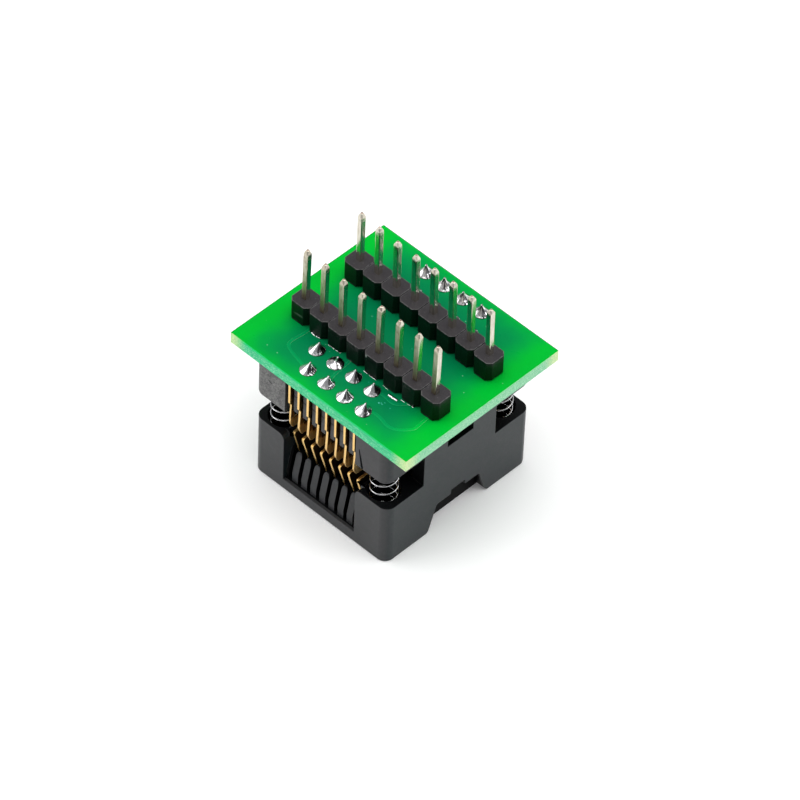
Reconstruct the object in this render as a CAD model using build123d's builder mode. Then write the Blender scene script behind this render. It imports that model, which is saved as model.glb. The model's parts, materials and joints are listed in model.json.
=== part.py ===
from build123d import *
import math
import os

os.makedirs("parts", exist_ok=True)

# Programming socket adapter: an open-top spring-loaded socket for a 16-lead
# 150 mil small-outline chip, soldered under a small adapter board that carries
# two 8-pin header strips.  Millimetres, +Z up.  The object lies as it is shown:
# cover face down on the table (z = 0), header pins standing up.
# X runs along the pin rows, -Y is the long side nearest the viewer.

# ---------------------------------------------------------------- dimensions
PITCH = 2.54                 # header pin pitch
ROW_HALF = 3.81              # header rows stand 7.62 apart
PAT_X = 0.26                 # the header pattern sits this far off the socket centre
CPITCH = 1.27                # contact pitch
N = 8                        # pins and contacts on each side

BOARD_X, BOARD_Y, BOARD_T = 24.1, 21.4, 1.4
BOARD_TOP = 17.5
BOARD_BOT = BOARD_TOP - BOARD_T          # 16.1

PIN_SQ = 0.63
PIN_EDGE_R = 0.09            # rolled corners of the square pins
PIN_TOP = BOARD_TOP + 8.69               # 26.19, the usual pin; some stand higher
PIN_RISE = [
    0.45, 0.34, 0.07, 0.10, 0.14, 0.10, 0.18, 0.24,          # near row, from -X
    0.26, 0.14, 0.0, 0.0, 0.0, 0.0, -0.06, -0.03,            # far row, from -X
]
PIN_BOT = BOARD_BOT - 0.38
PIN_TAPER = 0.42
STRIP_H = 2.54
STRIP_W = 2.5
STRIP_CHAMF = 0.45
STRIP_DX = {-1: 0.12, 1: 0.0}            # the insulators sit a little off their pins
STRIP_DY = {-1: 0.0, 1: -0.08}
SEAM_W = 0.07                # break-off seam between two units of a strip
PIN_HOLE_R = 0.52

# cover (the spring-loaded slider)
COV_X, COV_Y, COV_H = 18.5, 20.4, 7.66
COV_DX = 0.11                # the cover stands this far towards +X in its play
COV_R = 1.1
COV_EDGE_R = 0.15
WIN_HALF = 4.95              # half length of the contact windows
SILL_Z = 1.35
RIB_Y0 = 9.65                # lower rib face
RIB_KINK = 2.45
RIB_Y1 = 9.04                # rib face at the rounded top
RIB_TOP = 5.3
RIB_W = 0.85
SLOT_W = CPITCH - RIB_W      # 0.42
IC_OPEN_X, IC_OPEN_Y = 5.6, 4.0          # half sizes of the chip opening
IC_MOUTH_X, IC_MOUTH_Y = 6.3, 4.75       # half sizes at the face
TAB_HALF = 5.08              # end guide tab
TAB_TOP = 12.5
TAB_OUT = {-1: COV_X / 2 - COV_DX, 1: COV_X / 2 + COV_DX}      # flush with the end faces
TAB_IN = 7.75
TAB_NOTCH_HALF, TAB_NOTCH_Z = 1.8, 10.85
NOTCH_X = 8.0                # the finger notches stop at a wall this far from the centre
TRAVEL = 2.8                 # cover stroke

# springs
SPR_X, SPR_Y = 6.9, 8.1
SPR_R_OUT = 1.485
WIRE_R = 0.07
POCKET_R = 1.72
POCKET_FLOOR = 1.7
POCKET_CEIL = 14.2
SPR_TURNS = 10.5
SPR_START = 111.0            # degrees, where the wire begins

# socket base
BASE_X, BASE_Y = 18.3, 20.5
BASE_BOT = 11.0
BASE_TOP = BOARD_BOT
COMB_BOT = 11.6
COMB_Y = 9.78
GROOVE_W = 0.34
GROOVE_MOUTH_W = 0.66        # the grooves open out towards the bay face
GROOVE_MOUTH_Y = 9.3
SEAT_Z = 6.0                 # lead shelf of the chip seat
SEAT_X, SEAT_Y = 5.4, 3.15
TAB_REC_HALF = 5.2
TAB_REC_X = 7.62

# contacts
BLADE_T = 0.28
PIV_Y, PIV_Z = 6.3, 9.3      # flexing point of the contact, taken as a knuckle
KNUCKLE_R = 0.5
KNUCKLE_GAP = 0.05
HOOK_R = 0.95
TAIL_W = 0.4
BEAM_TOP = BOARD_BOT - 0.05
TAIL_TOP = BOARD_TOP + 1.12
TAIL_TOP_LOW = BOARD_TOP + 0.60          # the far inner tails are trimmed short
TAIL_HOLE_R = 0.42
TAIL_OUTER, TAIL_INNER = 8.89, 6.35

# solder
JOINT_R, JOINT_H, JOINT_TIP_R = 0.86, 0.98, 0.2
JOINT_R_LOW, JOINT_H_LOW = 0.58, 0.42


def contact_x(k):
    return -3.5 * CPITCH + k * CPITCH


def tail_y(side, k):
    # the tails leave the contacts in two staggered rows on each side
    outer = (k % 2 == 1) if side < 0 else (k % 2 == 0)
    return side * (TAIL_OUTER if outer else TAIL_INNER)


def is_low(side, k):
    # the far inner tails end just above their joints
    return side > 0 and abs(tail_y(side, k)) < 7


def pin_x(k):
    return PAT_X - 3.5 * PITCH + k * PITCH


# -------------------------------------------------------------------- cover
# finger comb of one contact window: the profile across the fingers, cut back
# to nine fingers with rounded tops
comb_parts = []
for side in (-1, 1):
    with BuildPart() as comb:
        with BuildSketch(Plane.YZ.offset(-WIN_HALF - 0.02)):
            with BuildLine():
                Polyline(
                    (side * RIB_Y0, 0.5),
                    (side * RIB_Y0, RIB_KINK),
                    (side * (RIB_Y1 + 0.07), 4.95),
                    (side * (RIB_Y1 - 0.06), 5.19),
                    (side * (RIB_Y1 - 0.32), RIB_TOP),
                    (side * 7.9, RIB_TOP),
                    (side * 6.9, 4.4),
                    (side * IC_OPEN_Y, 3.2),
                    (side * IC_OPEN_Y, 0.5),
                    (side * RIB_Y0, 0.5),
                )
            make_face()
        extrude(amount=2 * WIN_HALF + 0.04)
        with BuildSketch(Plane.XZ.offset(-12)):
            for i in range(-1, N):
                xc = -3 * CPITCH + i * CPITCH
                if i == -1:
                    with Locations((-WIN_HALF - 0.4 + (WIN_HALF - 3.5 * CPITCH - SLOT_W / 2) / 2, 1.65)):
                        Rectangle(WIN_HALF - 3.5 * CPITCH - SLOT_W / 2 + 0.8, 7.3)
                elif i == N - 1:
                    with Locations((WIN_HALF + 0.4 - (WIN_HALF - 3.5 * CPITCH - SLOT_W / 2) / 2, 1.65)):
                        Rectangle(WIN_HALF - 3.5 * CPITCH - SLOT_W / 2 + 0.8, 7.3)
                else:
                    # each finger narrows to a blunt arch
                    with BuildLine():
                        h = RIB_W / 2
                        Polyline(
                            (xc - h, 0.3), (xc - h, 4.55), (xc - 0.93 * h, 4.85), (xc - 0.76 * h, 5.08),
                            (xc - 0.46 * h, 5.24), (xc, RIB_TOP), (xc + 0.46 * h, 5.24), (xc + 0.76 * h, 5.08),
                            (xc + 0.93 * h, 4.85), (xc + h, 4.55), (xc + h, 0.3), (xc - h, 0.3),
                        )
                    make_face()
        extrude(amount=24, mode=Mode.INTERSECT)
        # the slot floors, with the ramp that pushes the contact arms outward
        with BuildSketch(Plane.YZ.offset(-WIN_HALF - 0.02)):
            with BuildLine():
                Polyline(
                    (side * RIB_Y0, 0.5),
                    (side * RIB_Y0, SILL_Z),
                    (side * 8.95, SILL_Z),
                    (side * 7.78, 3.3),
                    (side * 7.1, 3.3),
                    (side * 5.9, 1.55),
                    (side * IC_OPEN_Y, 1.35),
                    (side * IC_OPEN_Y, 0.5),
                    (side * RIB_Y0, 0.5),
                )
            make_face()
        extrude(amount=2 * WIN_HALF + 0.04)
    comb_parts.append(comb.part)

with BuildPart() as cover:
    with BuildSketch(Plane.XY):
        with Locations((COV_DX, 0)):
            RectangleRounded(COV_X, COV_Y, COV_R)
    extrude(amount=COV_H)
    fillet(cover.faces().sort_by(Axis.Z)[0].edges(), COV_EDGE_R)
    # contact windows, open towards the base
    with BuildSketch(Plane.XY.offset(SILL_Z)):
        with Locations((0, -COV_Y / 2), (0, COV_Y / 2)):
            Rectangle(2 * WIN_HALF, 2 * (COV_Y / 2 - IC_OPEN_Y))
    extrude(amount=COV_H, mode=Mode.SUBTRACT)
    # the window's top corners are rounded off
    with BuildSketch(Plane.XZ.offset(-12)):
        for sx in (-1, 1):
            with BuildLine():
                Line((sx * (WIN_HALF - 0.1), COV_H + 0.1), (sx * (WIN_HALF - 0.1), COV_H - 0.75))
                Line((sx * (WIN_HALF - 0.1), COV_H - 0.75), (sx * WIN_HALF, COV_H - 0.75))
                ThreePointArc(
                    (sx * WIN_HALF, COV_H - 0.75),
                    (sx * (WIN_HALF + 0.75 * (1 - math.cos(math.pi / 4))), COV_H - 0.75 * (1 - math.sin(math.pi / 4))),
                    (sx * (WIN_HALF + 0.75), COV_H),
                )
                Line((sx * (WIN_HALF + 0.75), COV_H), (sx * (WIN_HALF + 0.75), COV_H + 0.1))
                Line((sx * (WIN_HALF + 0.75), COV_H + 0.1), (sx * (WIN_HALF - 0.1), COV_H + 0.1))
            make_face()
    corner_cut = extrude(amount=24, mode=Mode.PRIVATE)
    with BuildSketch(Plane.XY.offset(COV_H - 1)):
        with Locations((0, -COV_Y / 2), (0, COV_Y / 2)):
            Rectangle(2 * WIN_HALF + 2, 2 * (COV_Y / 2 - 9.4))
    rim_zone = extrude(amount=2, mode=Mode.PRIVATE)
    add(corner_cut & rim_zone, mode=Mode.SUBTRACT)
    # chip opening with its sloping mouth
    with BuildSketch(Plane.XY.offset(-0.5)):
        Rectangle(2 * IC_OPEN_X, 2 * IC_OPEN_Y)
    extrude(amount=COV_H + 1, mode=Mode.SUBTRACT)
    with BuildSketch(Plane.XY.offset(-0.01)):
        RectangleRounded(2 * IC_MOUTH_X, 2 * IC_MOUTH_Y, 0.4)
    with BuildSketch(Plane.XY.offset(1.1)):
        RectangleRounded(2 * IC_OPEN_X, 2 * IC_OPEN_Y, 0.2)
    loft(mode=Mode.SUBTRACT)
    # cored-out end walls behind the guide tabs
    with BuildSketch(Plane.XY.offset(4.5)):
        with Locations((-7.15, 0), (7.15, 0)):
            RectangleRounded(1.1, 9.2, 0.3)
    extrude(amount=4, mode=Mode.SUBTRACT)
    # finger notches in the two end walls
    for x_start in (-9.8, NOTCH_X):
        with BuildSketch(Plane.YZ.offset(x_start)):
            with BuildLine():
                Polyline(
                    (-4.55, -0.5), (-4.42, 0.0), (-4.06, 0.34), (-3.05, 3.25), (-2.8, 3.4),
                    (2.8, 3.4), (3.05, 3.25), (4.06, 0.34), (4.42, 0.0), (4.55, -0.5), (-4.55, -0.5),
                )
            make_face()
        extrude(amount=9.8 - NOTCH_X, mode=Mode.SUBTRACT)
    # shallow relief above each notch
    with BuildSketch(Plane.YZ.offset(-9.6)):
        with Locations((0, 3.3)):
            Rectangle(2.0, 1.4)
    extrude(amount=1.0, mode=Mode.SUBTRACT)
    with BuildSketch(Plane.YZ.offset(8.6)):
        with Locations((0, 3.3)):
            Rectangle(2.0, 1.4)
    extrude(amount=1.0, mode=Mode.SUBTRACT)
    # spring pockets
    with BuildSketch(Plane.XY.offset(POCKET_FLOOR)):
        with GridLocations(2 * SPR_X, 2 * SPR_Y, 2, 2):
            Circle(POCKET_R)
    extrude(amount=COV_H, mode=Mode.SUBTRACT)
    # guide tabs, each forked at its end
    for sx in (-1, 1):
        with BuildSketch(Plane.YZ.offset(min(sx * TAB_IN, sx * TAB_OUT[sx]))):
            with BuildLine():
                Polyline(
                    (-TAB_HALF, 7.0), (-TAB_HALF, TAB_TOP - 0.3), (-TAB_HALF + 0.3, TAB_TOP),
                    (-TAB_NOTCH_HALF, TAB_TOP), (-TAB_NOTCH_HALF, TAB_NOTCH_Z),
                    (TAB_NOTCH_HALF, TAB_NOTCH_Z), (TAB_NOTCH_HALF, TAB_TOP),
                    (TAB_HALF - 0.3, TAB_TOP), (TAB_HALF, TAB_TOP - 0.3), (TAB_HALF, 7.0),
                    (-TAB_HALF, 7.0),
                )
            make_face()
        extrude(amount=TAB_OUT[sx] - TAB_IN)
        # snap barbs on the inner face of the two prongs
        with BuildSketch(Plane.XZ.offset(-4.4)):
            with BuildLine():
                Polyline(
                    (sx * (TAB_IN + 0.05), 11.85), (sx * (TAB_IN - 0.32), 11.85),
                    (sx * (TAB_IN - 0.32), 12.1), (sx * (TAB_IN + 0.05), TAB_TOP - 0.02),
                    (sx * (TAB_IN + 0.05), 11.85),
                )
            make_face()
        extrude(amount=2.2)
        with BuildSketch(Plane.XZ.offset(2.2)):
            with BuildLine():
                Polyline(
                    (sx * (TAB_IN + 0.05), 11.85), (sx * (TAB_IN - 0.32), 11.85),
                    (sx * (TAB_IN - 0.32), 12.1), (sx * (TAB_IN + 0.05), TAB_TOP - 0.02),
                    (sx * (TAB_IN + 0.05), 11.85),
                )
            make_face()
        extrude(amount=2.2)
    for c in comb_parts:
        add(c)
cover.part.label = "cover"
export_step(cover.part, "parts/cover.step")

# --------------------------------------------------------------- socket base
with BuildPart() as socket_base:
    with BuildSketch(Plane.XY.offset(BASE_BOT)):
        RectangleRounded(BASE_X, BASE_Y, COV_R)
    extrude(amount=BASE_TOP - BASE_BOT)
    fillet(socket_base.faces().sort_by(Axis.Z)[0].edges(), 0.4)
    # contact bays: set back from the corner posts and raised a little
    with BuildSketch(Plane.XY.offset(BASE_BOT - 0.5)):
        with Locations((0, -BASE_Y / 2), (0, BASE_Y / 2)):
            Rectangle(2 * 4.86, 2 * (BASE_Y / 2 - COMB_Y))
    extrude(amount=6, mode=Mode.SUBTRACT)
    with BuildSketch(Plane.XY.offset(BASE_BOT - 0.5)):
        Rectangle(2 * 4.86, BASE_Y + 1)
    extrude(amount=COMB_BOT - BASE_BOT + 0.5, mode=Mode.SUBTRACT)
    # chip seat that hangs into the cover's opening
    with BuildSketch(Plane.XY.offset(SEAT_Z)):
        Rectangle(2 * SEAT_X, 2 * SEAT_Y)
    extrude(amount=BASE_TOP - SEAT_Z - 1)
    with BuildSketch(Plane.XY.offset(SEAT_Z)):
        Rectangle(2 * 5.0, 2 * 1.98)
    extrude(amount=0.1, mode=Mode.SUBTRACT)
    # end stops that hold the chip's body lengthways
    for sx in (-1, 1):
        with BuildSketch(Plane.XZ.offset(-1.75)):
            with BuildLine():
                Polyline(
                    (sx * SEAT_X, SEAT_Z + 0.2), (sx * SEAT_X, 4.5), (sx * 5.32, 4.4),
                    (sx * 5.06, 4.95), (sx * 5.06, SEAT_Z + 0.2), (sx * SEAT_X, SEAT_Z + 0.2),
                )
            make_face()
        extrude(amount=3.5)
    # grooves for the contact blades
    with BuildSketch(Plane.XY.offset(COMB_BOT - 0.2)):
        for k in range(N):
            with Locations((contact_x(k), -7.7), (contact_x(k), 7.7)):
                Rectangle(GROOVE_W, 5.4)
    extrude(amount=6, mode=Mode.SUBTRACT)
    with BuildSketch(Plane.XY.offset(COMB_BOT - 0.2)):
        for k in range(N):
            for s in (-1, 1):
                with Locations((contact_x(k), s * (GROOVE_MOUTH_Y + 10.4) / 2)):
                    Rectangle(GROOVE_MOUTH_W, 10.4 - GROOVE_MOUTH_Y)
    extrude(amount=6, mode=Mode.SUBTRACT)
    # parting line across the bay ribs
    with BuildSketch(Plane.XY.offset(13.74)):
        with Locations((0, -COMB_Y), (0, COMB_Y)):
            Rectangle(2 * 4.86, 0.12)
    extrude(amount=0.09, mode=Mode.SUBTRACT)
    # spring pockets in the corner posts
    with BuildSketch(Plane.XY.offset(BASE_BOT - 0.5)):
        with GridLocations(2 * SPR_X, 2 * SPR_Y, 2, 2):
            Circle(POCKET_R)
    extrude(amount=POCKET_CEIL - BASE_BOT + 0.5, mode=Mode.SUBTRACT)
    # recesses that the cover's guide tabs slide in
    with BuildSketch(Plane.XY.offset(BASE_BOT - 0.5)):
        with Locations((-TAB_REC_X - 1, 0), (TAB_REC_X + 1, 0)):
            Rectangle(2, 2 * TAB_REC_HALF)
    extrude(amount=6, mode=Mode.SUBTRACT)
    # undercut pockets for the snap barbs, with the shoulder that stops them
    with BuildSketch(Plane.XY.offset(11.8)):
        with Locations((-TAB_REC_X, -3.3), (-TAB_REC_X, 3.3), (TAB_REC_X, -3.3), (TAB_REC_X, 3.3)):
            Rectangle(0.7, 2.5)
    extrude(amount=6, mode=Mode.SUBTRACT)
    # clearance channels over the header joints
    with BuildSketch(Plane.XY.offset(BASE_TOP - 0.75)):
        with Locations((0, -ROW_HALF), (0, ROW_HALF)):
            Rectangle(BASE_X + 1, 2.1)
    extrude(amount=2, mode=Mode.SUBTRACT)
    # narrow draft slit on one post of each long side
    for s in (-1, 1):
        with BuildSketch(Plane.XZ.offset(BASE_Y / 2 - 0.3 if s < 0 else -BASE_Y / 2 - 0.1)):
            with BuildLine():
                Polyline(
                    (-s * 5.34, 13.75), (-s * 5.42, 13.7), (-s * 5.93, 11.6), (-s * 5.9, 11.0),
                    (-s * 5.72, 11.0), (-s * 5.34, 13.75),
                )
            make_face()
        extrude(amount=0.4, mode=Mode.SUBTRACT)
socket_base.part.label = "socket_base"
export_step(socket_base.part, "parts/socket_base.step")

# -------------------------------------------------------------- adapter board
with BuildPart() as adapter_pcb:
    with BuildSketch(Plane.XY.offset(BOARD_BOT)):
        Rectangle(BOARD_X, BOARD_Y)
        for k in range(N):
            with Locations((pin_x(k), -ROW_HALF), (pin_x(k), ROW_HALF)):
                Circle(PIN_HOLE_R, mode=Mode.SUBTRACT)
            for side in (-1, 1):
                with Locations((contact_x(k), tail_y(side, k))):
                    Circle(TAIL_HOLE_R, mode=Mode.SUBTRACT)
    extrude(amount=BOARD_T)
adapter_pcb.part.label = "adapter_pcb"
export_step(adapter_pcb.part, "parts/adapter_pcb.step")

# --------------------------------------------------------------- header strips
for side, strip_name in ((-1, "header_strip_near"), (1, "header_strip_far")):
    with BuildPart() as strip:
        with BuildSketch(Plane.XY.offset(BOARD_TOP)):
            for k in range(N):
                with BuildLine():
                    xc, yc = pin_x(k) + STRIP_DX[side], side * ROW_HALF + STRIP_DY[side]
                    hx, hy, c = PITCH / 2, STRIP_W / 2, STRIP_CHAMF
                    Polyline(
                        (xc - hx, yc - hy + c), (xc - hx + c, yc - hy), (xc + hx - c, yc - hy),
                        (xc + hx, yc - hy + c), (xc + hx, yc + hy - c), (xc + hx - c, yc + hy),
                        (xc - hx + c, yc + hy), (xc - hx, yc + hy - c), (xc - hx, yc - hy + c),
                    )
                make_face()
            for k in range(N):
                with Locations((pin_x(k), side * ROW_HALF)):
                    Rectangle(PIN_SQ, PIN_SQ, mode=Mode.SUBTRACT)
        extrude(amount=STRIP_H)
        # moulding draft: the top edges are broken slightly
        chamfer(strip.faces().sort_by(Axis.Z)[-1].outer_wire().edges(), 0.07)
        # break-off seams between the units
        with BuildSketch(Plane.XY.offset(BOARD_TOP + STRIP_H - 0.05)):
            for k in range(N - 1):
                with Locations((pin_x(k) + STRIP_DX[side] + PITCH / 2, side * ROW_HALF + STRIP_DY[side])):
                    Rectangle(SEAM_W, STRIP_W + 0.2)
        extrude(amount=0.2, mode=Mode.SUBTRACT)
        # stand-off relief under each unit's corners
        with BuildSketch(Plane.XY.offset(BOARD_TOP - 0.01)):
            for k in range(N - 1):
                with Locations((pin_x(k) + STRIP_DX[side] + PITCH / 2, side * ROW_HALF + STRIP_DY[side])):
                    Rectangle(1.0, STRIP_W + 0.2)
        extrude(amount=0.21, mode=Mode.SUBTRACT)
    strip.part.label = strip_name
    export_step(strip.part, "parts/" + strip_name + ".step")

# ----------------------------------------------------------------- header pins
pin_number = 0
for side in (-1, 1):
    for k in range(N):
        pin_number += 1
        top = PIN_TOP + PIN_RISE[pin_number - 1]
        with BuildPart() as pin:
            with BuildSketch(Plane.XY.offset(PIN_BOT)):
                with Locations((pin_x(k), side * ROW_HALF)):
                    RectangleRounded(PIN_SQ, PIN_SQ, PIN_EDGE_R)
            extrude(amount=top - PIN_TAPER - PIN_BOT)
            with BuildSketch(Plane.XY.offset(top - PIN_TAPER)):
                with Locations((pin_x(k), side * ROW_HALF)):
                    RectangleRounded(PIN_SQ, PIN_SQ, PIN_EDGE_R)
            with BuildSketch(Plane.XY.offset(top)):
                with Locations((pin_x(k), side * ROW_HALF)):
                    RectangleRounded(PIN_SQ * 0.42, PIN_SQ * 0.42, PIN_EDGE_R * 0.6)
            loft()
        pin.part.label = "header_pin_%02d" % pin_number
        export_step(pin.part, "parts/header_pin_%02d.step" % pin_number)

# -------------------------------------------------------------------- contacts
# Each contact is a flat stamped blade.  Its fixed half has the tail that is
# soldered in the board, the stem in the base's groove and a beam that ends in a
# round hook; its arm turns in the hook, is pushed by the cover at its outer end
# and presses on a chip lead with its inner end.
contact_number = 0
for side in (-1, 1):
    for k in range(N):
        contact_number += 1
        xc = contact_x(k)
        yt = abs(tail_y(side, k))
        t_top = TAIL_TOP_LOW if is_low(side, k) else TAIL_TOP
        with BuildPart() as frame_blade:
            with BuildSketch(Plane.YZ.offset(xc)):
                with BuildLine():
                    Polyline(
                        (side * 10.1, BEAM_TOP), (side * 10.1, 12.7), (side * 9.86, 12.36),
                        (side * 10.0, 9.95), (side * 9.93, 9.7), (side * 9.6, 8.98),
                        (side * 6.85, 8.98), (side * 6.6, 9.6), (side * 6.6, 10.1),
                        (side * 7.0, 10.3), (side * 9.42, 10.22), (side * 9.38, 12.3),
                        (side * 9.48, 12.55), (side * 9.48, 14.9), (side * (yt - TAIL_W / 2), 14.9),
                        (side * (yt - TAIL_W / 2), t_top - 0.1), (side * (yt - TAIL_W / 4), t_top),
                        (side * (yt + TAIL_W / 4), t_top), (side * (yt + TAIL_W / 2), t_top - 0.1),
                        (side * (yt + TAIL_W / 2), BEAM_TOP), (side * 10.1, BEAM_TOP),
                    )
                make_face()
                with Locations((side * PIV_Y, PIV_Z)):
                    Circle(HOOK_R)
                with Locations((side * PIV_Y, PIV_Z)):
                    Circle(KNUCKLE_R + KNUCKLE_GAP, mode=Mode.SUBTRACT)
                # mouth of the hook, wide enough for the arm's neck to swing
                with BuildLine():
                    Polyline(
                        (side * PIV_Y, PIV_Z),
                        (side * (PIV_Y - 1.3 * math.cos(math.radians(-42))), PIV_Z + 1.3 * math.sin(math.radians(-42))),
                        (side * (PIV_Y - 0.9), PIV_Z - 1.6),
                        (side * (PIV_Y + 1.2), PIV_Z - 1.6),
                        (side * (PIV_Y + 1.3 * math.cos(math.radians(-31))), PIV_Z + 1.3 * math.sin(math.radians(-31))),
                        (side * PIV_Y, PIV_Z),
                    )
                make_face(mode=Mode.SUBTRACT)
            extrude(amount=BLADE_T / 2, both=True)
        frame_blade.part.label = "contact_frame_%02d" % contact_number
        export_step(frame_blade.part, "parts/contact_frame_%02d.step" % contact_number)

        with BuildPart() as arm:
            with BuildSketch(Plane.YZ.offset(xc)):
                with BuildLine():
                    Polyline(
                        (side * (PIV_Y + 0.27), PIV_Z - 0.3), (side * (PIV_Y + 0.29), 8.35),
                        (side * (PIV_Y + 0.5), 8.13), (side * 7.4, 8.05), (side * 9.1, 7.95),
                        (side * 9.3, 7.86), (side * 9.35, 7.66), (side * 8.52, 4.7),
                        (side * 8.3, 4.0), (side * 8.12, 3.86), (side * 7.9, 3.95),
                        (side * 7.62, 5.3), (side * 7.25, 6.35), (side * 6.75, 6.72), (side * 6.1, 6.66),
                        (side * 4.0, 5.28), (side * 3.2, 5.12), (side * 2.78, 5.2),
                        (side * 2.66, 5.45), (side * 2.76, 5.86), (side * 2.88, 5.93),
                        (side * 3.0, 5.84), (side * 3.12, 5.62), (side * 3.6, 5.72),
                        (side * 4.5, 6.5), (side * 5.75, 7.7), (side * (PIV_Y - 0.3), 8.3),
                        (side * (PIV_Y - 0.27), PIV_Z - 0.3), (side * (PIV_Y + 0.27), PIV_Z - 0.3),
                    )
                make_face()
                with Locations((side * PIV_Y, PIV_Z)):
                    Circle(KNUCKLE_R)
            extrude(amount=BLADE_T / 2, both=True)
        arm.part.label = "contact_arm_%02d" % contact_number
        export_step(arm.part, "parts/contact_arm_%02d.step" % contact_number)

# --------------------------------------------------------------------- springs
for sx, sy, spring_name in (
    (1, -1, "spring_front"), (-1, -1, "spring_left"), (1, 1, "spring_right"), (-1, 1, "spring_back"),
):
    z_low = POCKET_FLOOR + 0.02 + WIRE_R
    z_high = POCKET_CEIL - 0.02 - WIRE_R
    with BuildPart() as spring:
        start = math.radians(SPR_START)
        with BuildLine(Plane(
            origin=(sx * SPR_X, sy * SPR_Y, z_low),
            x_dir=(math.cos(start), math.sin(start), 0), z_dir=(0, 0, 1),
        )):
            coil = Helix(
                pitch=(z_high - z_low) / SPR_TURNS, height=z_high - z_low,
                radius=SPR_R_OUT - WIRE_R,
            )
        with BuildSketch(Plane(origin=coil @ 0, z_dir=coil % 0)):
            Circle(WIRE_R)
        sweep(path=coil, is_frenet=True)
    spring.part.label = spring_name
    export_step(spring.part, "parts/" + spring_name + ".step")

# -------------------------------------------------------------- solder joints
# Cone-shaped joints around the contact tails, on the header side of the board.
for side, solder_name in ((-1, "tail_solder_near"), (1, "tail_solder_far")):
    with BuildPart() as joints:
        for k in range(N):
            jr, jh = (JOINT_R_LOW, JOINT_H_LOW) if is_low(side, k) else (JOINT_R, JOINT_H)
            with BuildSketch(Plane(origin=(contact_x(k), tail_y(side, k), BOARD_TOP), x_dir=(1, 0, 0), z_dir=(0, -1, 0))):
                with BuildLine():
                    l1 = Line((0, 0), (jr, 0))
                    l2 = Line((jr, 0), (jr, 0.08))
                    l3 = Spline((jr, 0.08), (0.70 * jr, 0.43 * jh), (0.42 * jr, 0.75 * jh), (JOINT_TIP_R, jh))
                    l4 = Line((JOINT_TIP_R, jh), (0, jh))
                    l5 = Line((0, jh), (0, 0))
                make_face()
            revolve(axis=Axis((contact_x(k), tail_y(side, k), 0), (0, 0, 1)))
        with BuildSketch(Plane.XY.offset(BOARD_TOP - 0.1)):
            for k in range(N):
                with Locations((contact_x(k), tail_y(side, k))):
                    Rectangle(BLADE_T, TAIL_W)
        extrude(amount=2, mode=Mode.SUBTRACT)
    joints.part.label = solder_name
    export_step(joints.part, "parts/" + solder_name + ".step")

# Low domes around the trimmed header tails, on the socket side of the board.
with BuildPart() as header_solder:
    for side in (-1, 1):
        for k in range(N):
            with BuildSketch(Plane(origin=(pin_x(k), side * ROW_HALF, BOARD_BOT), x_dir=(1, 0, 0), z_dir=(0, -1, 0))):
                with BuildLine():
                    Polyline((0, 0), (0.82, 0), (0.8, -0.08), (0.66, -0.22), (0.5, -0.3), (0, -0.3), (0, 0))
                make_face()
            revolve(axis=Axis((pin_x(k), side * ROW_HALF, 0), (0, 0, 1)))
    with BuildSketch(Plane.XY.offset(BOARD_BOT - 1)):
        for side in (-1, 1):
            for k in range(N):
                with Locations((pin_x(k), side * ROW_HALF)):
                    RectangleRounded(PIN_SQ, PIN_SQ, PIN_EDGE_R)
    extrude(amount=2, mode=Mode.SUBTRACT)
header_solder.part.label = "header_solder"
export_step(header_solder.part, "parts/header_solder.step")
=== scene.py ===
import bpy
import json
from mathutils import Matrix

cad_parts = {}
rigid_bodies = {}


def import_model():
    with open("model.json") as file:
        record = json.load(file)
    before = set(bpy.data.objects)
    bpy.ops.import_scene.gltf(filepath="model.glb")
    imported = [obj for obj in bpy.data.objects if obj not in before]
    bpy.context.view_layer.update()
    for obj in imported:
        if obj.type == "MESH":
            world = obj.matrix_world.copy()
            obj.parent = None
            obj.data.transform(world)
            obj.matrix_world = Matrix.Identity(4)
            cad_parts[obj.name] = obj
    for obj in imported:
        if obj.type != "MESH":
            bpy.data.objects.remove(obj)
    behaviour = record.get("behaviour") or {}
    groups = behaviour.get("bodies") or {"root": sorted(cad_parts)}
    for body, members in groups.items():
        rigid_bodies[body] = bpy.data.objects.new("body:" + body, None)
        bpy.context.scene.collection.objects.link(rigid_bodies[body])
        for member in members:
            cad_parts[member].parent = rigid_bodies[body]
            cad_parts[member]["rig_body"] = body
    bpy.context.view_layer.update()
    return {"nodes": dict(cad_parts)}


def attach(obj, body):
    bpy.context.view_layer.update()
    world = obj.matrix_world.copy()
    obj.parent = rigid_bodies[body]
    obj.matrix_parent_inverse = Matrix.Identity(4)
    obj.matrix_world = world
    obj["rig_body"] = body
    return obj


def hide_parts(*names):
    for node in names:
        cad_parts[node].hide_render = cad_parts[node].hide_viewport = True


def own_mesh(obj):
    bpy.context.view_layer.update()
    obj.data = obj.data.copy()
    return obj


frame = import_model()

import json
import math
import random

import bmesh
import bpy
from mathutils import Matrix, Vector, noise

MM = 0.001
scene = bpy.context.scene
NODES = frame["nodes"]

# Real dimensions shared with the construction, in millimetres.
PITCH, CPITCH, N = 2.54, 1.27, 8
PAT_X, ROW_HALF = 0.26, 3.81
BOARD_X, BOARD_Y, BOARD_TOP, BOARD_BOT = 24.1, 21.4, 17.5, 16.1
TAIL_OUTER, TAIL_INNER = 8.89, 6.35
STRIP_TOP = 20.04
STRIP_DX, STRIP_DY = {-1: 0.12, 1: 0.0}, {-1: 0.0, 1: -0.08}
PIN_HALF, PIN_R, PIN_TOP, PIN_BOT = 0.315, 0.09, 26.19, 15.72
PIN_RISE = [
    0.45, 0.34, 0.07, 0.10, 0.14, 0.10, 0.18, 0.24,
    0.26, 0.14, 0.0, 0.0, 0.0, 0.0, -0.06, -0.03,
]
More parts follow.
